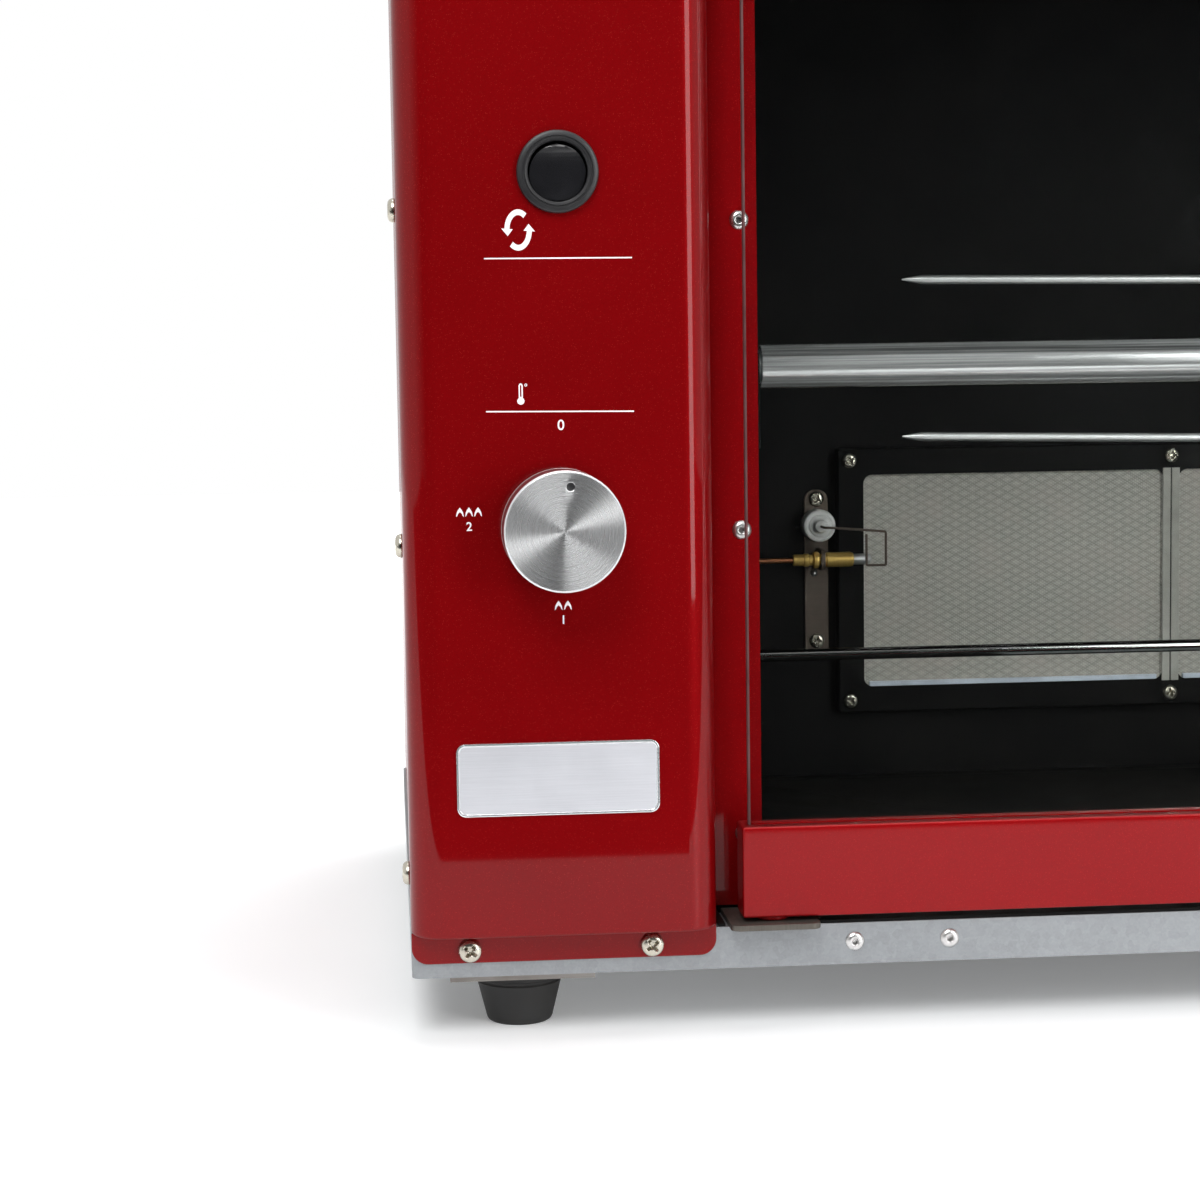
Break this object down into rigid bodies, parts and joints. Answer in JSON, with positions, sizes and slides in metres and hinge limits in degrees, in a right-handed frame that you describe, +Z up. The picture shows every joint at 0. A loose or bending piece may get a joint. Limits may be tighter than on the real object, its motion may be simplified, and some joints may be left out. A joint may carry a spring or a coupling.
{
  "type": "gas rotisserie grill",
  "caption": "Tabletop gas rotisserie grill with a hinged glass door, a geared spit with a fork, a ceramic burner behind it, a control column and a drip tray that slides out.",
  "frame": {"origin": "on the table plane, under the centre of the grill's bounding box, from the door handle to the gas thread", "axes": "+X to the right seen from the front and along the spit, +Y from the door to the rear cover, +Z up"},
  "size_m": [0.6948, 0.404, 0.42],
  "materials": {
    "red_paint": "candy metallic red gloss paint on steel sheet",
    "galvanised": "galvanised steel sheet with a fine spangle",
    "black_rubber": "matt black rubber",
    "black_enamel": "satin black heat-proof enamel",
    "door_glass": "clear tempered glass",
    "bright_steel": "polished stainless steel",
    "black_plastic": "black plastic",
    "zinc_plate": "bright zinc plate",
    "dull_steel": "heat-tinted dull steel",
    "burner_ceramic": "grey perforated burner ceramic",
    "brass": "turned brass",
    "aluminium_tube": "drawn aluminium tube",
    "white_porcelain": "glazed porcelain",
    "copper_lead": "copper tube",
    "spun_aluminium": "spun and clear-anodised aluminium",
    "gear_steel": "machined steel"
  },
  "bodies": {
    "cabinet": {"base_frame": "galvanised", "foot_plates": "galvanised", "rubber_feet": "black_rubber", "left_column_cover": "red_paint", "right_column_cover": "red_paint", "left_side_panel": "red_paint", "right_side_panel": "red_paint", "top_lid": "red_paint", "top_lintel": "red_paint", "left_jamb": "red_paint", "right_jamb": "red_paint", "rear_cover": "galvanised", "cavity_left_wall": "black_enamel", "cavity_right_wall": "black_enamel", "cavity_back_wall": "black_enamel", "cavity_ceiling": "black_enamel", "cavity_floor": "black_enamel", "door_catch": "black_plastic", "hinge_brackets": "zinc_plate", "burner_frame": "dull_steel", "burner_tiles": "burner_ceramic", "burner_housing": "dull_steel", "mixing_tube": "dull_steel", "gas_injector": "brass", "gas_pipes": "aluminium_tube", "gas_inlet": "brass", "igniter_bracket": "dull_steel", "electrode_insulator": "white_porcelain", "electrode_wire": "dull_steel", "thermocouple": "dull_steel", "thermocouple_lead": "copper_lead", "burner_screws": "zinc_plate", "guard_rod": "bright_steel", "valve_body": "brass", "switch_housing": "black_plastic", "power_inlet": "black_plastic", "spit_bearing": "bright_steel", "motor_bracket": "galvanised", "drive_bushes": "brass", "gear_motor": "gear_steel", "tray_runners": "galvanised", "panel_screws": "zinc_plate", "blind_rivets": "zinc_plate"},
    "door": {"door_glass": "door_glass", "door_bottom_rail": "red_paint", "door_top_rail": "red_paint", "door_handle": "bright_steel"},
    "tray": {"drip_tray": "galvanised"},
    "valve_plug": {"valve_plug": "brass"},
    "knob": {"valve_stem": "zinc_plate", "gas_knob": "spun_aluminium"},
    "rocker": {"switch_rocker": "black_plastic"},
    "spit": {"spit_tube": "bright_steel", "spit_end_plugs": "bright_steel", "drive_socket": "bright_steel", "drive_gear": "gear_steel"},
    "pinion": {"motor_pinion": "gear_steel"},
    "fork": {"fork_hub": "bright_steel", "fork_prongs": "bright_steel"},
    "fork_screw": {"fork_thumbscrew": "bright_steel"}
  },
  "joints": [
    {"name": "door_hinge", "type": "hinge", "parent": "cabinet", "child": "door", "pos_m": [-0.2247, -0.1584, 0.0385], "axis": [0, 0, -1], "range_deg": [0, 105]},
    {"name": "tray_slide", "type": "slide", "parent": "cabinet", "child": "tray", "axis": [0, -1, 0], "range_m": [0, 0.22]},
    {"name": "knob_turn", "type": "hinge", "parent": "cabinet", "child": "valve_plug", "pos_m": [-0.2943, -0.138, 0.1699], "axis": [0, -1, 0], "range_deg": [0, 180]},
    {"name": "knob_push", "type": "slide", "parent": "valve_plug", "child": "knob", "axis": [0, 1, 0], "range_m": [0, 0.004], "stiffness_N_per_m": 1500},
    {"name": "rocker_tilt", "type": "hinge", "parent": "cabinet", "child": "rocker", "pos_m": [-0.2934, -0.1698, 0.283], "axis": [-1, 0, 0], "range_deg": [0, 20]},
    {"name": "spit_turn", "type": "hinge", "parent": "cabinet", "child": "spit", "pos_m": [0, -0.042, 0.22], "axis": [1, 0, 0], "continuous": true},
    {"name": "pinion_turn", "type": "hinge", "parent": "cabinet", "child": "pinion", "pos_m": [0.255, -0.042, 0.178], "axis": [1, 0, 0], "continuous": true},
    {"name": "fork_slide", "type": "slide", "parent": "spit", "child": "fork", "axis": [1, 0, 0], "range_m": [-0.05, 0.19]},
    {"name": "fork_screw_turn", "type": "hinge", "parent": "fork", "child": "fork_screw", "pos_m": [-0.0055, -0.056, 0.22], "axis": [0, -1, 0], "range_deg": [0, 360]}
  ],
  "couplings": [
    {"joint": "pinion_turn", "follows": "spit_turn", "ratio": -2.5}
  ]
}
